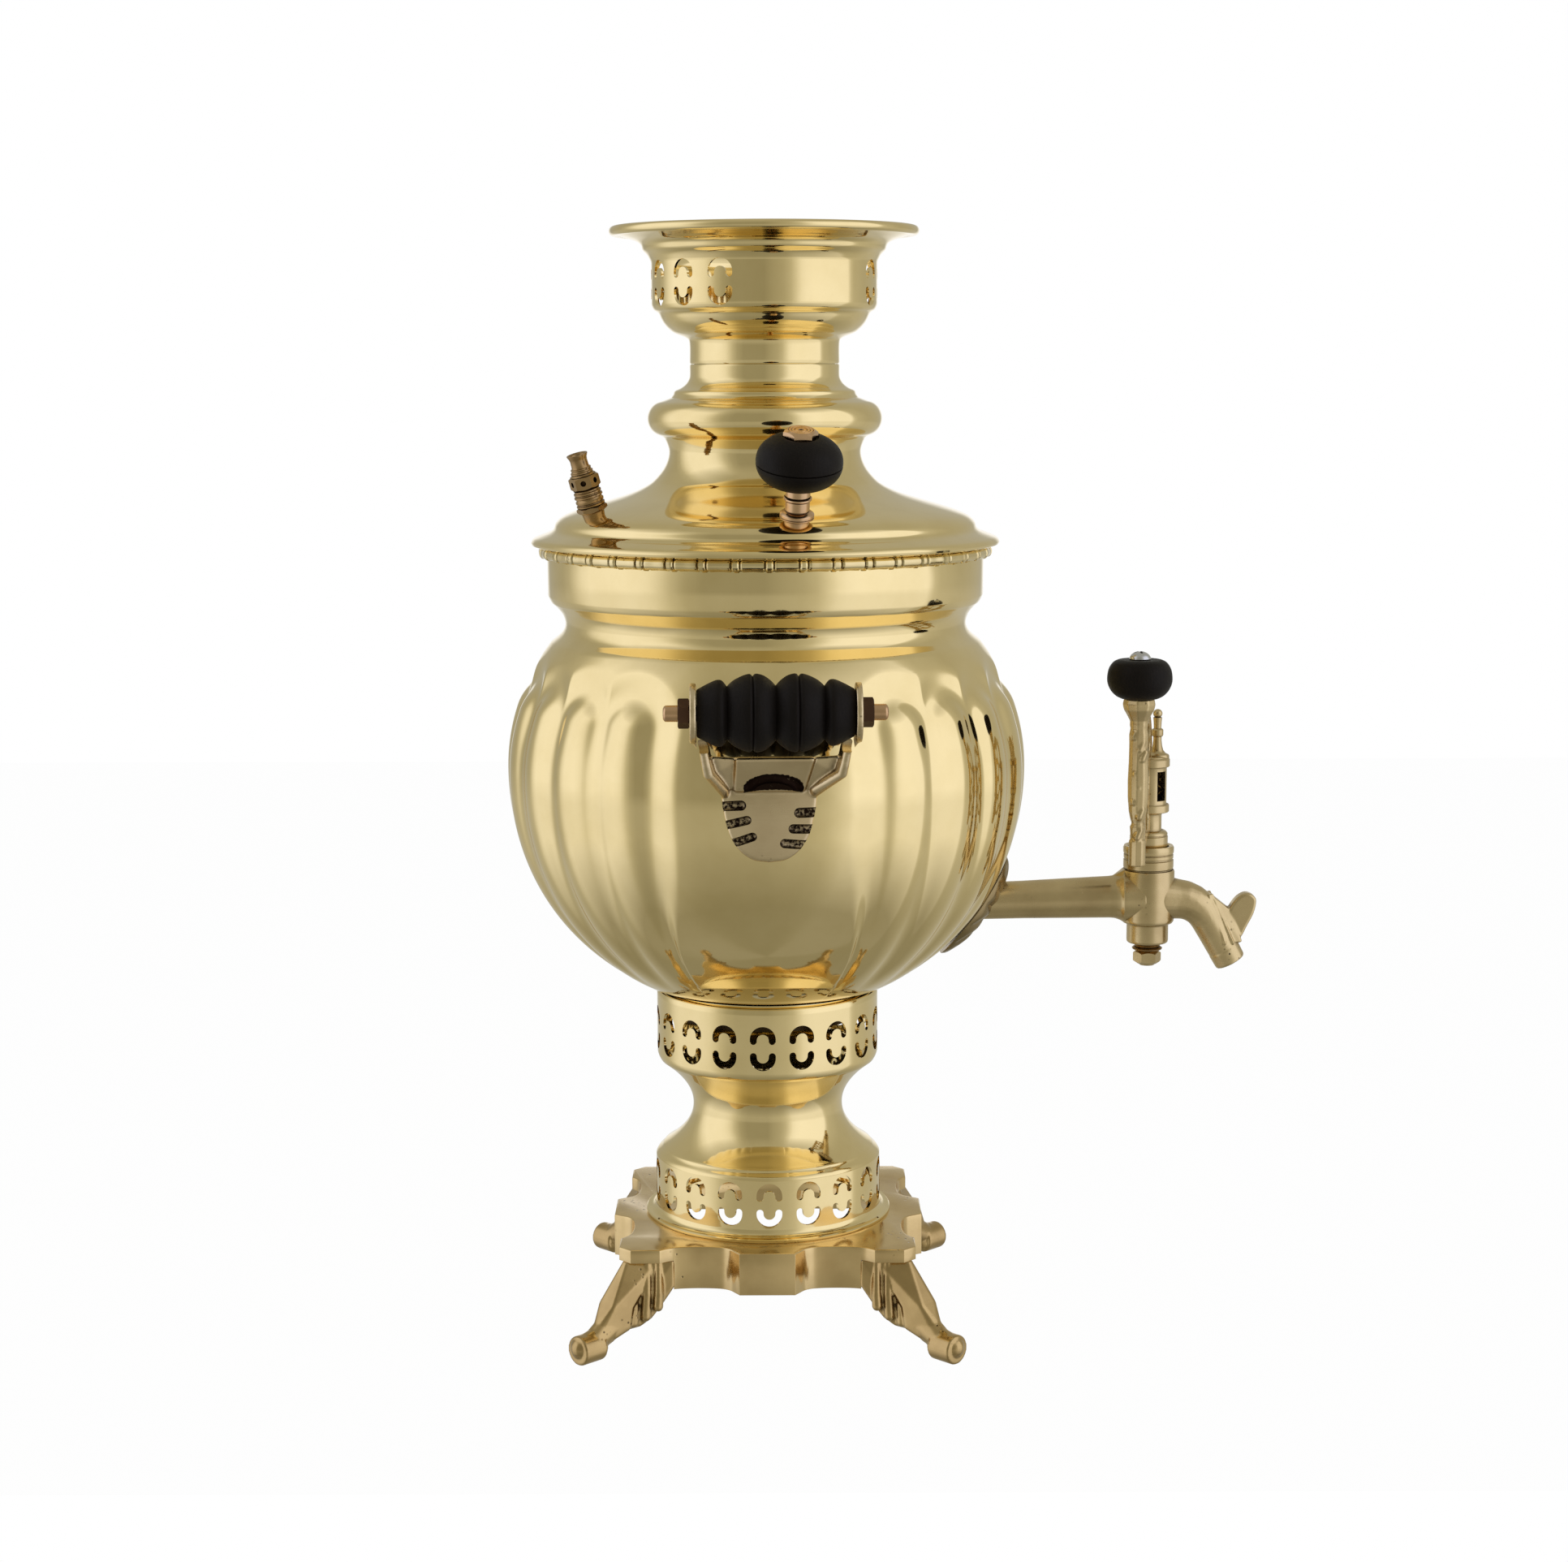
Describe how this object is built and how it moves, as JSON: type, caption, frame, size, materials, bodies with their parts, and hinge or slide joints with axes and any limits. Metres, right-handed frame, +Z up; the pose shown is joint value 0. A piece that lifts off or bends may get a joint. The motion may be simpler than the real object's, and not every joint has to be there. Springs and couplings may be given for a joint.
{
  "type": "samovar",
  "caption": "Charcoal samovar: fluted brass urn on a pierced pedestal and cast four-footed base, with turning tap, lid, vent and crown.",
  "frame": {"origin": "under the middle of the urn, on the floor that the four feet stand on", "axes": "+Z up along the urn's axis; +X along the tap, out of the urn; -Y is the front, where the front handle is"},
  "size_m": [0.3201, 0.2902, 0.4639],
  "materials": {
    "spun_brass": "polished",
    "cast_brass": "polished, dark in the hollows",
    "pale_cast_brass": "satin, dark in the hollows",
    "turned_brass": "turned and polished",
    "dark_bronze": "tarnished",
    "sooty_brass": "sooty",
    "cast_iron": "rough",
    "black_wood": "satin lacquer",
    "bright_steel": "bright",
    "fibre": "matte"
  },
  "bodies": {
    "urn": {"foot_plate": "cast_brass", "leg_front_left": "cast_brass", "leg_front_right": "cast_brass", "leg_back_left": "cast_brass", "leg_back_right": "cast_brass", "pedestal": "spun_brass", "body_vessel": "spun_brass", "bead_band": "cast_brass", "fire_tube": "sooty_brass", "grate": "cast_iron", "handle_bracket_front": "pale_cast_brass", "handle_bracket_back": "pale_cast_brass", "handle_grip_front": "black_wood", "handle_grip_back": "black_wood", "handle_rod_front": "turned_brass", "handle_rod_back": "turned_brass", "handle_nuts_front": "dark_bronze", "handle_nuts_back": "dark_bronze", "tap_body": "pale_cast_brass", "tap_escutcheon": "pale_cast_brass", "tap_gasket": "fibre", "tap_shank_nut": "turned_brass"},
    "lid": {"lid": "spun_brass", "lid_stem_front": "turned_brass", "lid_stem_back": "turned_brass", "lid_knob_front": "black_wood", "lid_knob_back": "black_wood", "lid_knob_nut_front": "turned_brass", "lid_knob_nut_back": "turned_brass", "lid_stem_nuts": "turned_brass", "vent_base": "dark_bronze"},
    "vent_cap": {"vent_cap": "dark_bronze"},
    "crown": {"crown": "spun_brass"},
    "tap_key": {"tap_plug": "pale_cast_brass", "key_branch": "pale_cast_brass", "key_knob": "black_wood", "key_knob_screw": "bright_steel", "plug_washer": "dark_bronze", "plug_nut": "pale_cast_brass"}
  },
  "joints": [
    {"name": "lid_lift", "type": "slide", "parent": "urn", "child": "lid", "axis": [0, 0, 1], "range_m": [0, 0.09]},
    {"name": "crown_lift", "type": "slide", "parent": "lid", "child": "crown", "axis": [0, 0, 1], "range_m": [0, 0.06]},
    {"name": "vent_turn", "type": "hinge", "parent": "lid", "child": "vent_cap", "pos_m": [-0.06877, -0.04466, 0.346], "axis": [-0.2452, -0.1592, 0.9563], "range_deg": [0, 90]},
    {"name": "tap_turn", "type": "hinge", "parent": "urn", "child": "tap_key", "pos_m": [0.1636, 0, 0.2], "axis": [0, 0, 1], "continuous": true}
  ]
}
